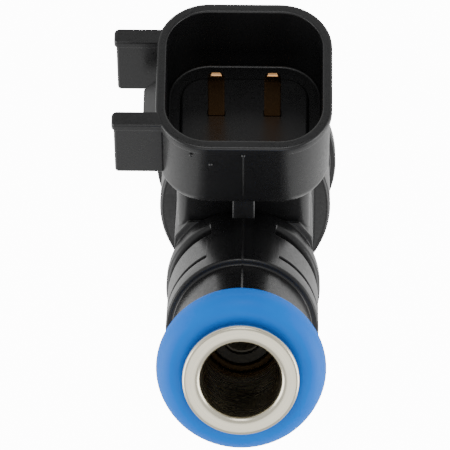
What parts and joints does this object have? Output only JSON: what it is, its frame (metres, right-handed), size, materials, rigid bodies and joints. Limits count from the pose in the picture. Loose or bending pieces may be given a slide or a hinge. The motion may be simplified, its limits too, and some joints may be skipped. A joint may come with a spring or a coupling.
{
  "type": "fuel injector",
  "caption": "Long slim port fuel injector with a blade connector, solenoid valve, inlet filter, and an O-ring seal at each end.",
  "frame": {"origin": "centre of the lower O-ring, on the injector's axis", "axes": "+Z along the injector's axis towards the fuel inlet, -Y the side the connector leans out to, +X the side of the connector's latch rails"},
  "size_m": [0.0202, 0.0349, 0.0705],
  "materials": {
    "body_nylon": "black glass-filled nylon, as moulded, smooth satin gloss",
    "cap_nylon": "black nylon, as moulded",
    "bobbin_nylon": "dark natural nylon, as moulded",
    "blue_seal": "blue fluorosilicone, moulded, light oil film",
    "brown_seal": "brown fluorocarbon, moulded, satin",
    "stainless_tube": "deep-drawn stainless steel, satin",
    "nozzle_steel": "turned stainless steel",
    "hard_steel": "hardened and ground steel",
    "magnet_steel": "turned magnetic stainless steel",
    "can_steel": "black-zinc plated steel can",
    "spring_wire": "drawn spring wire",
    "filter_brass": "drawn brass ring",
    "filter_gauze": "woven filter cloth",
    "blade_bronze": "tin bronze blade, gold-flashed tip",
    "enamelled_copper": "enamelled copper wire, layer wound"
  },
  "bodies": {
    "body": {"adjusting_tube": "stainless_tube", "backup_ring": "cap_nylon", "coil_bobbin": "bobbin_nylon", "coil_winding": "enamelled_copper", "filter_frame": "bobbin_nylon", "filter_mesh": "filter_gauze", "filter_ring": "filter_brass", "fixed_core": "magnet_steel", "flux_washer": "magnet_steel", "guide_disc": "hard_steel", "inlet_tube": "stainless_tube", "lower_o_ring": "brown_seal", "nonmagnetic_sleeve": "stainless_tube", "nozzle_cap": "cap_nylon", "orifice_plate": "hard_steel", "overmold_body": "body_nylon", "return_spring": "spring_wire", "solenoid_housing": "can_steel", "terminal_left": "blade_bronze", "terminal_right": "blade_bronze", "upper_o_ring": "blue_seal", "valve_body": "nozzle_steel", "valve_seat": "hard_steel"},
    "valve": {"armature": "magnet_steel", "needle_tube": "stainless_tube", "valve_ball": "hard_steel"}
  },
  "joints": [
    {"name": "valve_lift", "type": "slide", "parent": "body", "child": "valve", "axis": [0, 0, 1], "range_m": [0, 0.00007], "stiffness_N_per_m": 1500, "springref_m": -0.002, "deforming": ["return_spring"]}
  ]
}
